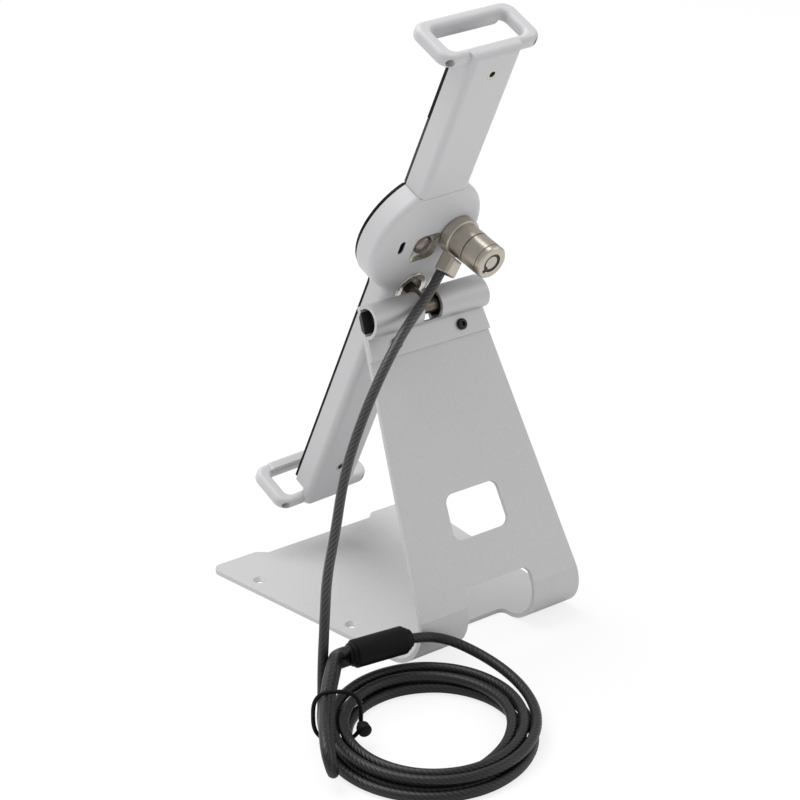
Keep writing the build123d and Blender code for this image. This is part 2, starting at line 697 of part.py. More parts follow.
with BuildPart() as t_bar:
    with BuildSketch(lock_plane.offset(face - key_depth)) as t_rod:
        Circle(tbar_r)
    extrude(amount=-(face - key_depth + wall + 3.2))
    with BuildSketch(lock_plane.offset(-wall - 2.3)) as t_head:
        SlotOverall(2 * tbar_half, 2 * tbar_r)
    extrude(amount=-1.8)
export(t_bar, "t_bar")

swing = math.radians(ferrule_turn)
lift = math.radians(ferrule_lean)
across_lock = lock_plane.y_dir * -math.cos(swing) - lock_plane.x_dir * math.sin(swing)
cable_out = across_lock * math.cos(lift) + lock_dir * math.sin(lift)
ferrule_root = lock_plane.origin + lock_dir * ferrule_height
ferrule_plane = Plane(origin=ferrule_root, x_dir=lock_dir.cross(across_lock), z_dir=cable_out)
ferrule_end = ferrule_start + ferrule_length
with BuildPart() as ferrule:
    with BuildSketch(ferrule_plane.offset(ferrule_start)) as ferrule_section:
        RectangleRounded(ferrule_wide, ferrule_deep, 1.4)
    extrude(amount=ferrule_length)
    fillet(ferrule.faces().sort_by(Axis(ferrule_root, cable_out))[-1].edges(), radius=0.8)
    with BuildSketch(ferrule_plane.offset(ferrule_end)) as ferrule_bore:
        Circle(cable / 2 + 0.1)
    extrude(amount=-4, mode=Mode.SUBTRACT)
    with BuildSketch(lock_plane.offset(-2)) as ferrule_seat:
        Circle(lock_base_r + 0.1)
    extrude(amount=neck_top + 4, mode=Mode.SUBTRACT)
export(ferrule, "ferrule")

# ---- security cable: hangs over the plate's edge to a coil on the table ----
cable_exit = ferrule_root + cable_out * ferrule_end
drop_route = [cable_exit - cable_out * 3, cable_exit + cable_out * 11, Vector(24.5, 42.0, 139.0),
              Vector(42.5, 47.0, 121.5), Vector(56.0, 50.0, 102.0), Vector(66.5, 55.0, 86.5),
              Vector(76.0, 62.0, 68.5), Vector(86.0, 69.0, 54.0), Vector(92.5, 76.0, 39.5),
              Vector(96.0, 78.6, 17.5), Vector(96.8, 79.6, 12.2)]


def cord(route, label):
    """One length of the cable along its route, with the widest bends that the runs allow."""
    runs = [(b - a).length for a, b in zip(route, route[1:])]
    turns = [(b - a).get_angle(c - b) for a, b, c in zip(route, route[1:], route[2:])]
    short = [min(pair) for pair in zip(runs, runs[1:])]
    radii = [0.45 * run / math.tan(math.radians(bend / 2)) for run, bend in zip(short, turns)]
    print(label, "bend radii", [round(r, 1) for r in radii])
    with BuildPart(mode=Mode.PRIVATE) as tube:
        with BuildLine() as path:
            FilletPolyline(*route, radius=radii)
        with BuildSketch(Plane(origin=route[0], z_dir=route[1] - route[0])) as section:
            Circle(cable / 2)
        sweep(sections=section.sketch, path=path.line)
    length = sum(edge.length for edge in path.edges())
    print(label, "length", round(length, 1), "volume over section x length",
          round(tube.part.volume / (math.pi * cable ** 2 / 4 * length), 4))
    export(tube, label)


cord(drop_route, "cable_drop")

coil_way = math.radians(coil_turn)
coil_axis = (math.cos(coil_way), math.sin(coil_way), 0)
coil_plane = Plane(origin=(coil_x, coil_y, 0), x_dir=coil_axis, z_dir=(0, 0, 1))
with BuildPart() as cable_coil:
    with BuildSketch(coil_plane.offset(coil_low)) as coil_outline:
        Ellipse(coil_long, coil_short)
        Ellipse(coil_long - coil_band, coil_short - coil_band, mode=Mode.SUBTRACT)
    extrude(amount=coil_high)
    fillet(cable_coil.edges(), radius=1.5)
export(cable_coil, "cable_coil")

# ---- the cable's end: a crimped sleeve and the loop that leaves it ----
sleeve_from = Vector(52.8, 82.7, 20.5)
sleeve_to = Vector(83.2, 78.6, 20.5)
sleeve_dir = (sleeve_to - sleeve_from).normalized()
sleeve_length = (sleeve_to - sleeve_from).length
sleeve_plane = Plane(origin=sleeve_from, x_dir=(0, 0, 1), z_dir=sleeve_dir)
with BuildPart() as cable_sleeve:
    with BuildSketch(sleeve_plane) as sleeve_neck:
        SlotCenterToCenter(3.4, 6.4)
    extrude(amount=sleeve_length)
    with BuildSketch(sleeve_plane.offset(1.6)) as sleeve_body:
        Circle(sleeve_r)
    extrude(amount=sleeve_length - 3.2)
    fillet(cable_sleeve.edges().filter_by(GeomType.CIRCLE).filter_by(lambda e: e.radius > 5), radius=1.2)
export(cable_sleeve, "cable_sleeve")

# the middle of its two legs, and how wide they stand apart
loop_middle = [(Vector(94.0, 84.5, 23.4), 1.0), (Vector(105.5, 95.5, 20.0), 1.0),
               (Vector(114.2, 104.9, 17.2), 1.0), (Vector(126.5, 121.5, 16.0), 1.5),
               (Vector(133.0, 133.0, 10.5), 2.2)]
loop_side = Vector(0.24, -0.18, 0.954) * loop_half
leg_up = Vector(0, 0, loop_half)
loop_route = [sleeve_to + leg_up + sleeve_dir * fit, sleeve_to + leg_up + sleeve_dir * 4.8]
loop_route += [p + loop_side * spread for p, spread in loop_middle]
loop_route += [p - loop_side * spread for p, spread in reversed(loop_middle)]
loop_route += [sleeve_to - leg_up + sleeve_dir * 4.8, sleeve_to - leg_up + sleeve_dir * fit]
cord(loop_route, "cable_loop")

tie_plane = Plane(origin=(109.0, 103.5, 0.1 + tie_high / 2), x_dir=(0.79, -0.61, 0), z_dir=(0.61, 0.79, 0))
with BuildPart() as coil_tie:
    with BuildSketch(tie_plane) as tie_outline:
        RectangleRounded(tie_wide, tie_high, 3)
        RectangleRounded(tie_wide - 2 * tie_band, tie_high - 2 * tie_band, 2, mode=Mode.SUBTRACT)
    extrude(amount=1.5, both=True)
export(coil_tie, "coil_tie")
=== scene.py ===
import math

import bmesh
import bpy
import numpy as np
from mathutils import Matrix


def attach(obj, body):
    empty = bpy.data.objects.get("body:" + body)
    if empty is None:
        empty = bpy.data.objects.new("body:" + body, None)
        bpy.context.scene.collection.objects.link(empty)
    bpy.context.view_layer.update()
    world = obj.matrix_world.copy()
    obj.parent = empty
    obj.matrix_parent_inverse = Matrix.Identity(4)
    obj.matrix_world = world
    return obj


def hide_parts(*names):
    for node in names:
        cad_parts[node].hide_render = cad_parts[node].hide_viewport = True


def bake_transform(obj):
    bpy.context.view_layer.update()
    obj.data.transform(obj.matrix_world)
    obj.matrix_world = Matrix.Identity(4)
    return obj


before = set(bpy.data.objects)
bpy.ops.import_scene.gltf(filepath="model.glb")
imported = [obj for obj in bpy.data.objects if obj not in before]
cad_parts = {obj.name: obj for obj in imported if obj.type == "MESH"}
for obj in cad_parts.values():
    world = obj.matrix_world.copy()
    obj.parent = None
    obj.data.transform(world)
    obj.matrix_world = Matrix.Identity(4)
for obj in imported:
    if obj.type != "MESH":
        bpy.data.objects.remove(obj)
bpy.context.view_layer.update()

# ---- Camera: a long lens, level with the clamp's top and behind the stand's left rear corner, where the lock
# and the cable show best.
camera_data = bpy.data.cameras.new("camera")
camera_data.lens = 117.6
camera_data.sensor_width = 36
camera = bpy.data.objects.new("camera", camera_data)
camera.location = (0.6650, 0.8402, 0.5443)
camera.rotation_euler = (math.radians(66.93), 0, math.radians(141.30))
bpy.context.scene.collection.objects.link(camera)
bpy.context.scene.camera = camera
bpy.context.scene.view_settings.view_transform = "Standard"

# ---- Security cable: PVC-covered steel rope, 4.4 mm thick. It leaves the lock's ferrule, hangs over the
# plate's edge, lies in nearly five loose turns, and ends in a crimped loop that stands on the coil.
cable_d = 0.0044


def spans(points):
    """The distances between neighbouring points of a path."""
    return np.linalg.norm(np.diff(points, axis=0), axis=1)


def spline_points(name, route):
    """The line of an order-3 NURBS spline that has the route as its control points."""
    curve = bpy.data.curves.new(name, "CURVE")
    curve.dimensions = "3D"
    curve.resolution_u = 6
    spline = curve.splines.new("NURBS")
    spline.points.add(len(route) - 1)
    spline.points.foreach_set("co", np.column_stack([route, np.ones(len(route))]).ravel())
    spline.order_u = 3
    spline.use_endpoint_u = True
    holder = bpy.data.objects.new(name, curve)
    bpy.context.scene.collection.objects.link(holder)
    line = bpy.data.meshes.new_from_object(holder)
    points = np.empty(3 * len(line.vertices))
    line.vertices.foreach_get("co", points)
    bpy.data.objects.remove(holder)
    bpy.data.meshes.remove(line)
    return points.reshape(-1, 3)


def even(points, pitch):
    """The same path with its points an even pitch apart: each coordinate read off against arc length."""
    points = points[np.concatenate([[True], spans(points) > 1e-7])]
    along = np.concatenate([[0], np.cumsum(spans(points))])
    s = np.linspace(0, along[-1], int(along[-1] / pitch) + 1)
    return np.column_stack([np.interp(s, along, points[:, k]) for k in range(3)])


def mesh_piece(name, vertices, faces, uv=None):
    """A new smooth object from an array of vertices and a list of faces; uv is one pair per vertex."""
    data = bpy.data.meshes.new(name)
    data.from_pydata(vertices.tolist(), [], faces)
    if uv is not None:
        layer = data.uv_layers.new(name="along")
        corner = np.empty(len(data.loops), int)
        data.loops.foreach_get("vertex_index", corner)
        layer.data.foreach_set("uv", uv[corner].astype(np.float32).ravel())
    data.shade_smooth()
    piece = bpy.data.objects.new(name, data)
    bpy.context.scene.collection.objects.link(piece)
    return piece


def tube(name, path, radius, sides=14, steady=(-0.45, 0.4, 0.8)):
    """A tube on a path: centre + radius * (cos v * side + sin v * top), the side taken square to the path
    and to one steady direction. Its UV is the length along the path, in metres, and the turn from 0 to 1."""
    tangent = np.gradient(path, axis=0)
    tangent /= np.linalg.norm(tangent, axis=1)[:, None]
    side = np.cross(tangent, steady)
    side /= np.linalg.norm(side, axis=1)[:, None]
    top = np.cross(side, tangent)
    v = np.linspace(0, 2 * math.pi, sides + 1)
    ring = path[:, None] + radius * (np.cos(v)[:, None] * side[:, None] + np.sin(v)[:, None] * top[:, None])
    along = np.concatenate([[0], np.cumsum(spans(path))])
    uv = np.stack(np.broadcast_arrays(along[:, None], v[None] / (2 * math.pi)), axis=-1)
    n, m = len(path), sides + 1
    i, j = np.meshgrid(np.arange(n - 1), np.arange(sides), indexing="ij")
    a = (i * m + j).ravel()
    quads = np.column_stack([a, a + 1, a + m + 1, a + m])
    faces = quads.tolist() + [list(range(sides))[::-1], list(range((n - 1) * m, (n - 1) * m + sides))]
    return mesh_piece(name, ring.reshape(-1, 3), faces, uv.reshape(-1, 2))


ferrule_out = np.array([0.6109, 0.0436, -0.7905])
cable_exit = np.array([-0.0047, 0.0323, 0.1572])
drop = [cable_exit - 0.003 * ferrule_out, cable_exit + 0.011 * ferrule_out,
        (0.0245, 0.0420, 0.1390), (0.0425, 0.0470, 0.1215), (0.0560, 0.0500, 0.1020),
        (0.0665, 0.0550, 0.0865), (0.0760, 0.0620, 0.0685), (0.0860, 0.0690, 0.0540),
        (0.0925, 0.0760, 0.0395), (0.0960, 0.0786, 0.0175), (0.0988, 0.0822, 0.0028),
        (0.1050, 0.0895, 0.0024)]

# Each turn is an ellipse, seen from above. It creeps inwards on the table, climbs on itself once and
# creeps out again on top, a little nearer the stand; the turns fan out on that side.
coil_middle = np.array([0.0758, 0.1250])
coil_long = np.array([0.627, 0.779])
coil_wide = np.array([0.779, -0.627])
half_length, half_width = 0.0522, 0.0452
turns, first_angle, points_per_turn = 4.72, 86, 16
on_table, layer, last_rise, nearer = 0.0024, 0.0046, 0.0100, 0.0034
s = np.linspace(0, turns, int(points_per_turn * turns))
phi = np.radians(first_angle - 360 * s)
fan = (0.5 - 0.5 * np.cos(phi)) ** 3
creep = 0.00465 * np.minimum(s, turns - s)
near = (0.5 + 0.5 * np.cos(phi)) ** 2
inset = creep * (0.94 + 0.22 * near + 0.85 * fan)
climb = np.clip((s - 0.5 * turns + 0.12) / 0.24, 0, 1)
lift = np.clip((s - turns + 0.22) / 0.22, 0, 1)
height = on_table + layer * climb + last_rise * lift ** 2
ring = (coil_middle + np.cos(phi)[:, None] * (half_length - inset)[:, None] * coil_long
        + np.sin(phi)[:, None] * (half_width - inset)[:, None] * coil_wide
        - nearer * climb[:, None] * coil_long)
coil = np.column_stack([ring, height])

sleeve_from = np.array([0.0528, 0.0827, 0.0205])
sleeve_to = np.array([0.0832, 0.0786, 0.0205])
sleeve_axis = (sleeve_to - sleeve_from) / np.linalg.norm(sleeve_to - sleeve_from)
# The loop's two ends leave the sleeve one above the other, and its sides widen towards the far end.
up = np.array([0, 0, 0.0024])
sleeve_mouth = sleeve_to + 0.0048 * sleeve_axis
loop_middle = np.array([(0.0940, 0.0845, 0.0234), (0.1055, 0.0955, 0.0200), (0.1142, 0.1049, 0.0172),
                        (0.1265, 0.1215, 0.0160), (0.1330, 0.1330, 0.0105)])
loop_side = np.array([0.24, -0.18, 0.954])
apart = 0.0024 * np.array([[1.0], [1.0], [1.0], [1.5], [2.2]]) * loop_side
loop = np.vstack([[sleeve_from, sleeve_from + 0.010 * sleeve_axis, sleeve_to - 0.004 * sleeve_axis + up],
                  [sleeve_mouth + up], loop_middle + apart, (loop_middle - apart)[::-1],
                  [sleeve_mouth - up, sleeve_to - 0.008 * sleeve_axis - up]])
cable_pitch = 0.0016
cable_path = even(spline_points("cable_line", np.vstack([drop, coil[1:], loop])), cable_pitch)
cable = tube("security_cable", cable_path, cable_d / 2)


# Shader maths: a Signal is one socket, and Python's operators add Math nodes to it.
class Signal:
    """One output socket of a finish. +, - and * between signals and numbers add Math nodes."""

    def __init__(self, finish, socket):
        self.finish, self.socket = finish, socket

    def maths(self, operation, *terms):
        return self.finish.node("ShaderNodeMath", dict(enumerate(terms)), operation=operation)

    def apply(self, operation):
        """A Math node that takes this signal alone."""
        return self.finish.node("ShaderNodeMath", {0: self}, operation=operation)

    def limited(self):
        """This signal cut off below 0 and above 1."""
        return self.finish.node("ShaderNodeMath", {0: self, 1: 1.0}, operation="MULTIPLY", use_clamp=True)

    def __add__(self, other): return self.maths("ADD", self, other)
    def __radd__(self, other): return self.maths("ADD", other, self)
    def __sub__(self, other): return self.maths("SUBTRACT", self, other)
    def __mul__(self, other): return self.maths("MULTIPLY", self, other)
    def __rmul__(self, other): return self.maths("MULTIPLY", other, self)


class Finish:
    """A material in the making. node() adds any node; surface() sets the shader's sockets."""

    def __init__(self, name):
        self.material = bpy.data.materials.new(name)
        self.material.use_nodes = True
        self.tree = self.material.node_tree
        self.shader = self.tree.nodes["Principled BSDF"]

    def node(self, kind, values=(), out=0, **settings):
        """A node of that kind with its settings, then its sockets' values or links; gives one output."""
        made = self.tree.nodes.new(kind)
        for key, value in settings.items():
            setattr(made, key, value)
        for key, value in dict(values).items():
            self.plug(made.inputs[key], value)
        return Signal(self, made.outputs[out])

    def plug(self, socket, value):
        """Links a signal to a socket, or sets a number or colour on it."""
        if isinstance(value, Signal):
            self.tree.links.new(value.socket, socket)
        else:
            socket.default_value = (*value, 1) if socket.type == "RGBA" and len(value) == 3 else value

    def part(self, vector, axis):
        """The X, Y or Z of a vector."""
        return self.node("ShaderNodeSeparateXYZ", {"Vector": vector}, out=axis)

    def place(self, scale=(1, 1, 1)):
        """The object's own coordinates in metres, stretched by the scale."""
        where = self.node("ShaderNodeTexCoord", out="Object")
        return self.node("ShaderNodeMapping", {"Vector": where, "Scale": scale})

    def noise(self, where, scale, detail=3.0, rough=0.55):
        """Noise from 0 to 1 with features about 1/scale metres wide."""
        return self.node("ShaderNodeTexNoise",
                         {"Vector": where, "Scale": scale, "Detail": detail, "Roughness": rough})

    def tint(self, amount, low, high):
        """The colour low where amount is 0 and high where it is 1."""
        return self.node("ShaderNodeMix", {0: amount, 6: low, 7: high}, out=2, data_type="RGBA")

    def round_axis(self, y, z, radius):
        """1 within the radius of a line along X through (y, z), and 0 outside it."""
        spot = self.node("ShaderNodeTexCoord", out="Object")
        aside, above = self.part(spot, "Y") - y, self.part(spot, "Z") - z
        return ((aside * aside + above * above - radius * radius) * -1e6).limited()

    def bump(self, height, depth, strength=1.0):
        """A normal from a height from 0 to 1 over a depth in metres."""
        return self.node("ShaderNodeBump", {"Height": height, "Distance": depth, "Strength": strength},
                         out="Normal")

    def surface(self, **sockets):
        """Sets the shader's sockets by name, _ standing for a space; gives the material."""
        for key, value in sockets.items():
            self.plug(self.shader.inputs[key.replace("_", " ")], value)
        return self.material


def dress(material, *pieces):
    """Gives the material to pieces, or to CAD nodes by name."""
    for piece in pieces:
        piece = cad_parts[piece] if isinstance(piece, str) else piece
        if not piece.material_slots:
            piece.data.materials.append(material)
        for held in piece.material_slots:
            held.material = material


# The rope's strands show through its smoky jacket as fine slanting ribs, under a clear gloss. Painted
# shade and light: the jacket is painted darker in the coil than where it hangs, and its gloss is made thicker
# higher up; the height mask goes from 0 at 20 mm above the table to 1 at 53 mm.
jacket = Finish("cable_jacket")
rib_pitch, ribs_round = 0.0026, 7
unrolled = jacket.node("ShaderNodeTexCoord", out="UV")
length, turn = jacket.part(unrolled, "X"), jacket.part(unrolled, "Y")
strand = (length * (2 * math.pi / rib_pitch) + turn * (2 * math.pi * ribs_round)).apply("SINE") * 0.5 + 0.5
cloud = jacket.noise(jacket.place(), 240)
# Painted light and shade: a mask that grows with height above the table.
painted_light_rise = (jacket.part(jacket.place(), "Z") * 30.0 - 0.6).limited()
shade = strand * 0.75 + cloud * 0.25
# Painted shade and light: a dark copy of the jacket colour for the coil, and a lighter one where it hangs.
coil_painted_shade = jacket.tint(shade, (0.003, 0.003, 0.003), (0.016, 0.016, 0.016))
drop_painted_light = jacket.tint(shade, (0.010, 0.010, 0.011), (0.060, 0.058, 0.056))
jacket_look = jacket.surface(
    Base_Color=jacket.tint(painted_light_rise, coil_painted_shade, drop_painted_light), Roughness=0.34 + strand * 0.14 + cloud * 0.08,
    Normal=jacket.bump(strand, 0.00010), Coat_Weight=0.08 + painted_light_rise * 0.25, Coat_Roughness=0.25,
    Specular_IOR_Level=0.32)
dress(jacket_look, cable)

# ---- Crimped sleeve: a black moulded barrel with a stepped collar at each end, pressed on the cable where
# it comes back to make the loop.
sleeve_length = np.linalg.norm(sleeve_to - sleeve_from)


def turned(name, axis_from, axis, profile, sides=64):
    """A body of revolution: from + axis * z + r * (cos v * side + sin v * top), for the profile's (z, r)
    points. Ends at r = 0 close it, and a profile that meets itself makes a ring."""
    axis = np.asarray(axis, float) / np.linalg.norm(axis)
    side = np.cross(axis, (0, 0, 1))
    side /= np.linalg.norm(side)
    top = np.cross(side, axis)
    z, r = np.asarray(profile, float).T
    v = np.arange(sides) * 2 * math.pi / sides
    around = np.cos(v)[:, None] * side + np.sin(v)[:, None] * top
    rings = np.asarray(axis_from) + z[:, None, None] * axis + r[:, None, None] * around
    i, j = np.meshgrid(np.arange(len(z) - 1), np.arange(sides), indexing="ij")
    a, b = i * sides + j, i * sides + (j + 1) % sides
    quads = np.stack([a, b, b + sides, a + sides], -1).reshape(-1, 4)
    piece = mesh_piece(name, rings.reshape(-1, 3), quads.tolist())
    shape = bmesh.new()
    shape.from_mesh(piece.data)
    bmesh.ops.remove_doubles(shape, verts=shape.verts, dist=1e-6)
    bmesh.ops.recalc_face_normals(shape, faces=shape.faces)
    shape.to_mesh(piece.data)
    shape.free()
    return piece


def soft_corners(points, radius, steps=4):
    """A profile with its inner corners rounded: each is a quadratic curve that leaves one run at the
    radius before the corner and joins the next at the radius after it."""
    points = np.asarray(points, float)
    t = np.linspace(0, 1, steps + 1)[:, None]
    made = [points[:1]]
    for before, corner, after in zip(points, points[1:], points[2:]):
        reach = [min(radius, 0.45 * size) / size for size in spans([before, corner, after])]
        start, end = corner + (before - corner) * reach[0], corner + (after - corner) * reach[1]
        made.append((1 - t) ** 2 * start + 2 * t * (1 - t) * corner + t ** 2 * end)
    return np.vstack(made + [points[-1:]])


sleeve_end = [(0, 0), (0, 0.0040), (0.0014, 0.0042), (0.0016, 0.0050), (0.0030, 0.0052), (0.0034, 0.0061)]
sleeve = turned("crimp_sleeve", sleeve_from, sleeve_axis, soft_corners(
    sleeve_end + [(sleeve_length - z, r) for z, r in sleeve_end[::-1]], 0.0004))
rubber = Finish("black_rubber")
rubber_place = rubber.place()
rubber_fine = rubber.noise(rubber_place, 2600)
rubber_wide = rubber.noise(rubber_place, 160)
rubber_look = rubber.surface(
    Base_Color=rubber.tint(rubber_wide, (0.001, 0.001, 0.001), (0.004, 0.004, 0.004)),
    Roughness=0.45 + rubber_wide * 0.2, Specular_IOR_Level=0.14,
    Normal=rubber.bump(rubber_fine, 0.00005, 0.6))
dress(rubber_look, sleeve)

# ---- Coil tie: a thin black cord drawn round the turns and the loop, closed by a small toggle.
tie_middle = np.array([0.1080, 0.1042, 0.0124])
tie_across, tie_up = 0.0097 * np.array([0.79, -0.61, 0]), 0.0112 * np.array([0, 0, 1])
v = np.linspace(0, 2 * math.pi, 61)[:, None]
cos_square, sin_square = (np.abs(wave) ** 0.7 * np.sign(wave) for wave in (np.cos(v), np.sin(v)))
tie_path = tie_middle + cos_square * tie_across + sin_square * tie_up
tie_cord = tube("coil_tie_cord", tie_path, 0.0009, 10, (0.61, 0.79, 0.05))
toggle = turned("tie_toggle", (0.1006, 0.1100, 0.0090), (0.30, 0.95, -0.1), soft_corners(
    [(0, 0), (0, 0.0016), (0.0018, 0.0017), (0.0022, 0.0027), (0.0062, 0.0029), (0.0066, 0)], 0.0007), 32)
dress(rubber_look, tie_cord, toggle)

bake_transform(cable)
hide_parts("cable_drop", "cable_coil", "cable_loop")
for piece, node in ((sleeve, "cable_sleeve"), (tie_cord, "coil_tie")):
    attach(piece, "stand")
    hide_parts(node)
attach(toggle, "stand")

# ---- Folded plate: 2 mm steel, laser cut, bent once and powder coated in silver. The coat has a fine
# grain with faint metal flakes. Within 5.6 mm of the hinge axis, in the roll, it is painted dark: painted
# shade.
hinge_y, hinge_z = 0.0262, 0.1405
coat = Finish("silver_coat")
coat_place = coat.place()
grain = coat.noise(coat_place, 1500, 2)
flake = coat.node("ShaderNodeTexVoronoi", {"Vector": coat_place, "Scale": 2600.0}, out="Color")
flake_level = coat.part(flake, "X")
sweep = coat.noise(coat_place, 14, 2)
silver = coat.tint(flake_level * 0.5 + sweep * 0.5, (0.46, 0.455, 0.46), (0.55, 0.545, 0.55))
# Painted shade: the base colour goes dark within 5.6 mm of the hinge axis.
coat_look = coat.surface(
    Base_Color=coat.tint(coat.round_axis(hinge_y, hinge_z, 0.0056), silver, (0.03, 0.03, 0.031)),
    Metallic=0.2, Roughness=0.42 + 0.10 * grain + 0.06 * sweep, Normal=coat.bump(grain, 0.00002, 0.5))
dress(coat_look, "stand_plate")

# ---- Hinge cover: 1.6 mm aluminium sheet, brushed along its length, rolled round the cross shaft and held
# by two black socket-head screws with nuts in front. Within 5.92 mm of the hinge axis, in the roll, it is
# painted dark: painted shade.
brushed = Finish("brushed_cover")
streak = brushed.noise(brushed.place((40, 2600, 2600)), 1.0, 3)
blush = brushed.noise(brushed.place((12, 60, 60)), 1.0, 2)
# Painted shade: a mask for the hollow of the roll, which gets a near black base colour.
painted_roll_shade = brushed.round_axis(hinge_y, hinge_z, 0.00592)
metal = brushed.tint(streak * 0.6 + blush * 0.4, (0.42, 0.42, 0.425), (0.53, 0.53, 0.535))
brushed_look = brushed.surface(
    Base_Color=brushed.tint(painted_roll_shade, metal, (0.012, 0.012, 0.013)),
    Metallic=0.6, Roughness=0.42 + 0.16 * streak, Normal=brushed.bump(streak, 0.000015, 0.5))
dress(brushed_look, "hinge_cover")

black_oxide = Finish("black_oxide")
oxide_mark = black_oxide.noise(black_oxide.place(), 900)
black_oxide_look = black_oxide.surface(
    Base_Color=black_oxide.tint(oxide_mark, (0.008, 0.008, 0.009), (0.022, 0.021, 0.020)), Metallic=0.6,
    Roughness=0.32 + 0.2 * oxide_mark, Normal=black_oxide.bump(oxide_mark, 0.00001, 0.5))
dress(black_oxide_look, "clamp_screws", "clamp_nuts", "shaft_clips", "cover_screws", "rail_screws")
acetal = Finish("black_acetal")
acetal_cloud = acetal.noise(acetal.place(), 700)
acetal_look = acetal.surface(
    Base_Color=acetal.tint(acetal_cloud, (0.006, 0.006, 0.007), (0.013, 0.013, 0.014)),
    Roughness=0.38 + 0.14 * acetal_cloud, Normal=acetal.bump(acetal_cloud, 0.00001, 0.4))
dress(acetal_look, "bush_left", "bush_right", "rail_strip", "front_cover")

# ---- Holder mouldings: hub, arms and brackets in light grey ABS. The tool was spark eroded, which leaves a
# fine even grain, and the faces wave very slightly where the plastic sank.
# The hub leans 2.2 degrees in its own plane. The two lock slots are on either side of its long way, and
# their walls are painted dark: painted shade in the slots.
hub_lean = math.radians(2.2)
minus_x = np.array([-1.0, 0, 0])
along = np.array([0.0, 0.44151, 0.89726])
across = math.cos(hub_lean) * minus_x + math.sin(hub_lean) * np.cross(along, minus_x)
out = np.cross(across, along)
back_face = np.array([0, 0.011749, 0.148746]) + 0.0055 * out
slot_aside, slot_up = 0.0148, 0.028
moulded = Finish("grey_moulding")
moulded_place = moulded.place()
erosion = moulded.noise(moulded_place, 2200, 2)
sink = moulded.noise(moulded_place, 22, 1)
spot = moulded.node("ShaderNodeTexCoord", out="Object")
spot = moulded.node("ShaderNodeVectorMath", {0: spot, 1: back_face}, operation="SUBTRACT")
aside, up_arm, deep = (
    moulded.node("ShaderNodeVectorMath", {0: spot, 1: way}, out="Value", operation="DOT_PRODUCT")
    for way in (across, along, out))
aside, up_arm = aside.apply("ABSOLUTE") - slot_aside, up_arm - slot_up
# Painted shade: a mask for the slot walls below the back face, which get a near black base colour.
slot_near = ((aside * aside * 2 + up_arm * up_arm) * -1e6 + 17.0).limited()
painted_slot_shade = slot_near * ((deep + 0.0003) * -4000).limited()
grey = moulded.tint(sink * 0.6 + erosion * 0.4, (0.49, 0.49, 0.50), (0.56, 0.56, 0.57))
moulded_look = moulded.surface(
    Base_Color=moulded.tint(painted_slot_shade, grey, (0.01, 0.01, 0.011)),
    Roughness=0.40 + 0.10 * erosion, Specular_IOR_Level=0.45,
    Normal=moulded.bump(erosion * 0.15 + sink * 0.85, 0.00008, 0.6))
dress(moulded_look, "main_body", "upper_arm")
dress(rubber_look, "holder_pad", "grip_pad")

# ---- Metal inside the holder: the stamped anchor plate with the lock slots, the fork that carries the upper
# arm, the turned link, its collar and the two threaded inserts.
steel = Finish("ground_steel")
ground = steel.noise(steel.place((900, 60, 900)), 1.0, 3)
steel_look = steel.surface(
    Base_Color=steel.tint(ground, (0.34, 0.34, 0.345), (0.50, 0.50, 0.50)), Metallic=1.0,
    Roughness=0.28 + 0.18 * ground, Normal=steel.bump(ground, 0.00001, 0.5))
dress(steel_look, "slide_rail", "t_bar")
# Painted shade: the anchor plate is dressed in black oxide so that the lock slots, which show it, look dark.
dress(black_oxide_look, "anchor_plate")


def nickel(name, low, high, rough):
    """Satin nickel plate, between two colours, with the faint cloudiness of a tumbled casting."""
    plate = Finish(name)
    cloud = plate.noise(plate.place(), 420)
    fine = plate.noise(plate.place(), 2400, 2)
    return plate.surface(Base_Color=plate.tint(cloud, low, high), Metallic=0.9,
                         Roughness=rough + 0.10 * cloud + 0.06 * fine, Normal=plate.bump(fine, 0.000012, 0.6))


warm_nickel = nickel("warm_nickel", (0.40, 0.365, 0.315), (0.50, 0.46, 0.40), 0.27)
pale_nickel = nickel("pale_nickel", (0.46, 0.44, 0.39), (0.58, 0.56, 0.51), 0.20)
dark_nickel = nickel("dark_nickel", (0.10, 0.085, 0.07), (0.17, 0.15, 0.125), 0.22)
dress(pale_nickel, "link_socket", "low_insert", "high_insert")
dress(dark_nickel, "tilt_link")

# ---- Security lock: die-cast and turned in stages, nickel plated; the key plug turns inside the barrel.
dress(warm_nickel, "lock_base", "lock_neck", "lock_barrel", "ferrule", "key_plug")

# ---- Keyway: a black ring of painted shadow fills the gap round the key plug's post, just below the barrel's face.
# The lock stands in one slot and leans up the arm.
lock_lean = math.radians(8.5)
lock_out = math.cos(lock_lean) * out + math.sin(lock_lean) * along
keyway_shadow_ring = turned("keyway_painted_shadow", back_face + slot_aside * across + slot_up * along, lock_out, [
    (0.0238, 0.0033), (0.0247, 0.0033), (0.0248, 0.0034), (0.0248, 0.0042), (0.0247, 0.00435),
    (0.0238, 0.00435), (0.0238, 0.0033)])
dress(acetal_look, keyway_shadow_ring)
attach(keyway_shadow_ring, "holder")

# ---- Eye: a dished bright surround pressed into the hub's window, and the stud's low dome in its middle.
eye_up = 0.0236
eye_middle = back_face + eye_up * along
dome = turned("stud_dome", eye_middle, out, soft_corners(
    [(-0.0030, 0), (-0.0030, 0.0047), (-0.0016, 0.0047), (-0.0002, 0.0038), (0.0005, 0.0020), (0.0006, 0)],
    0.0014, 6), 96)


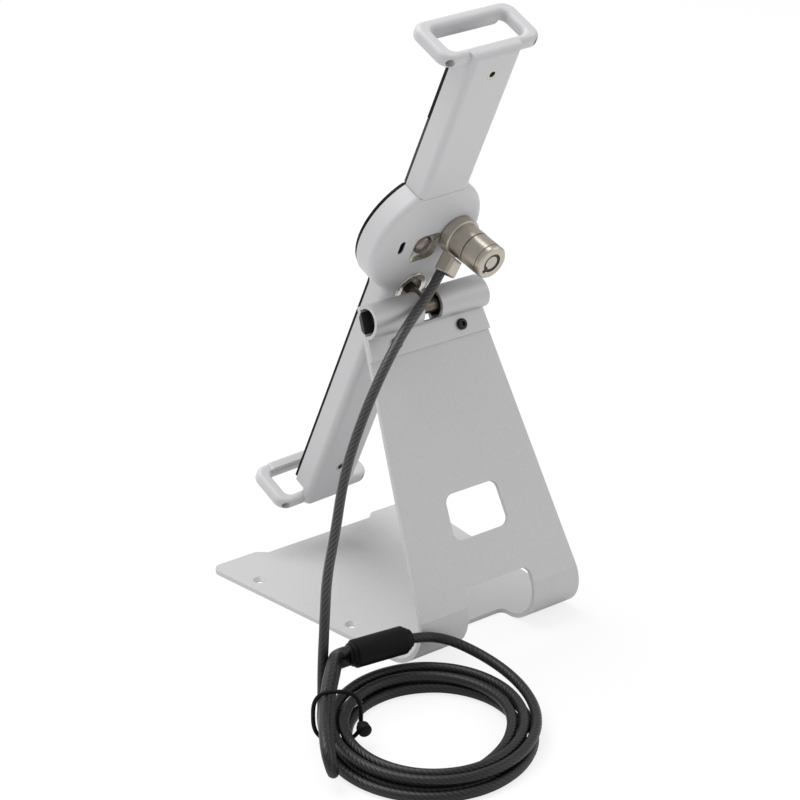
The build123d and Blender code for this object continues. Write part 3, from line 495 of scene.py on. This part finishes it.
def dished(name, middle, half, corner, inner, top, bottom, rings=14, sides=96):
    """A dish from a rounded square to a circle: middle + side * x + up * y + out * z, where (x, y) is
    ((1 - t) * square(v) + t * inner) * (cos v, sin v) and z = top + (bottom - top) * sin(pi t / 2)."""
    v = np.arange(sides) * 2 * math.pi / sides
    square = half / (np.abs(np.cos(v)) ** corner + np.abs(np.sin(v)) ** corner) ** (1 / corner)
    t = np.linspace(0, 1, rings)[:, None]
    reach = (1 - t) * square + t * inner
    depth = top + (bottom - top) * np.sin(0.5 * math.pi * t) * np.ones(sides)
    rim = np.stack([square, np.full(sides, bottom - 0.0001)], -1)
    reach, depth = np.vstack([rim[:, 0], reach]), np.vstack([rim[:, 1], depth])
    points = (middle + (reach * np.cos(v))[..., None] * across + (reach * np.sin(v))[..., None] * along
              + depth[..., None] * out)
    i, j = np.meshgrid(np.arange(rings), np.arange(sides), indexing="ij")
    a, b = i * sides + j, i * sides + (j + 1) % sides
    quads = np.stack([a, b, b + sides, a + sides], -1).reshape(-1, 4)
    return mesh_piece(name, points.reshape(-1, 3), quads.tolist())


dish = dished("eye_dish", eye_middle, half=0.00722, corner=5.0, inner=0.0046, top=0.0001, bottom=-0.0018)
bronze = nickel("bronze_nickel", (0.20, 0.17, 0.145), (0.29, 0.255, 0.22), 0.26)
for piece, look, node, slot in ((dome, bronze, "stud", "dark_nickel"),
                                (dish, pale_nickel, "eye_bezel", "nickel")):
    dress(look, piece)
    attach(piece, "holder")
    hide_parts(node)

# ---- Light: a broad soft key overhead and a little to the front, a weak fill from the camera's
# right, and a pale room that the camera sees brighter than it shines. Both lamps point at the stand's middle.
stand_middle = np.array([0.0, 0.0, 0.12])
for name, place, size, power in (("key", (0.3, -0.6, 1.6), 1.3, 25), ("fill", (-1.3, 1.2, 0.9), 1.2, 5)):
    lamp_data = bpy.data.lights.new(name, "AREA")
    lamp_data.size, lamp_data.energy = size, power
    lamp = bpy.data.objects.new(name, lamp_data)
    lamp.location = place
    aim = stand_middle - np.array(place)
    lamp.rotation_euler = (math.acos(-aim[2] / np.linalg.norm(aim)), 0, math.atan2(-aim[0], aim[1]))
    bpy.context.scene.collection.objects.link(lamp)

world = bpy.data.worlds.new("room")
world.use_nodes = True
bpy.context.scene.world = world
room = world.node_tree
light_path = room.nodes.new("ShaderNodeLightPath")
level = room.nodes.new("ShaderNodeMath")
level.operation = "MULTIPLY_ADD"
room.links.new(light_path.outputs["Is Camera Ray"], level.inputs[0])
extra_for_camera, room_level = 0.35, 0.65
level.inputs[1].default_value = extra_for_camera
level.inputs[2].default_value = room_level
room.links.new(level.outputs[0], room.nodes["Background"].inputs["Strength"])
room.nodes["Background"].inputs["Color"].default_value = (1, 1, 1, 1)

# ---- Floor: a plain white sheet. To the camera it is mostly glow, so that it keeps only a faint shadow.
floor_corners = 3.0 * np.array([(-1, -1, 0), (1, -1, 0), (1, 1, 0), (-1, 1, 0)])
floor = mesh_piece("floor", floor_corners, [[0, 1, 2, 3]])
paper = Finish("floor_paper")
seen = paper.node("ShaderNodeLightPath", out="Is Camera Ray")
glow = paper.node("ShaderNodeEmission", {"Color": (1, 1, 1), "Strength": 1.0})
paper_look = paper.surface(Base_Color=(0.88, 0.88, 0.88), Roughness=0.9)
mixed = paper.node("ShaderNodeMixShader", {0: seen * 0.8, 1: Signal(paper, paper.shader.outputs[0]), 2: glow})
paper.tree.links.new(mixed.socket, paper.tree.nodes["Material Output"].inputs["Surface"])
dress(paper_look, floor)
